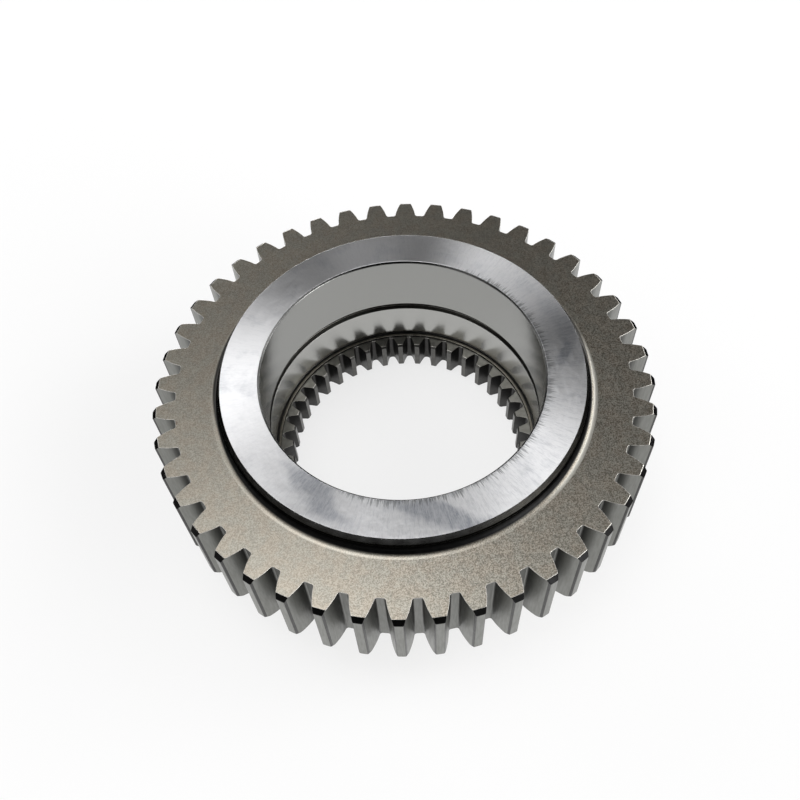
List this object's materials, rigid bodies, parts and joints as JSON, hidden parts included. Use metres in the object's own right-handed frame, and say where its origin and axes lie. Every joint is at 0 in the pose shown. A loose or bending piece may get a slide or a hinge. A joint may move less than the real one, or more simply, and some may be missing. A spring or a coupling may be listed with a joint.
{
  "type": "transfer case gear",
  "caption": "One-piece spur gear with a raised hub ring, a bearing seat with a retaining ring groove, and a row of internal teeth below the seat.",
  "frame": {"origin": "on the gear's axis, at the lower end face that it rests on", "axes": "+Z along the gear's axis, out of the mouth of the bearing seat; +X through the middle of an outer tooth and of an internal tooth space"},
  "size_m": [0.196, 0.196, 0.0637],
  "materials": {
    "steel": "ground hub face and bore, shot-blasted rim faces, smooth tooth flanks"
  },
  "bodies": {
    "root": {"gear": "steel"}
  },
  "joints": []
}
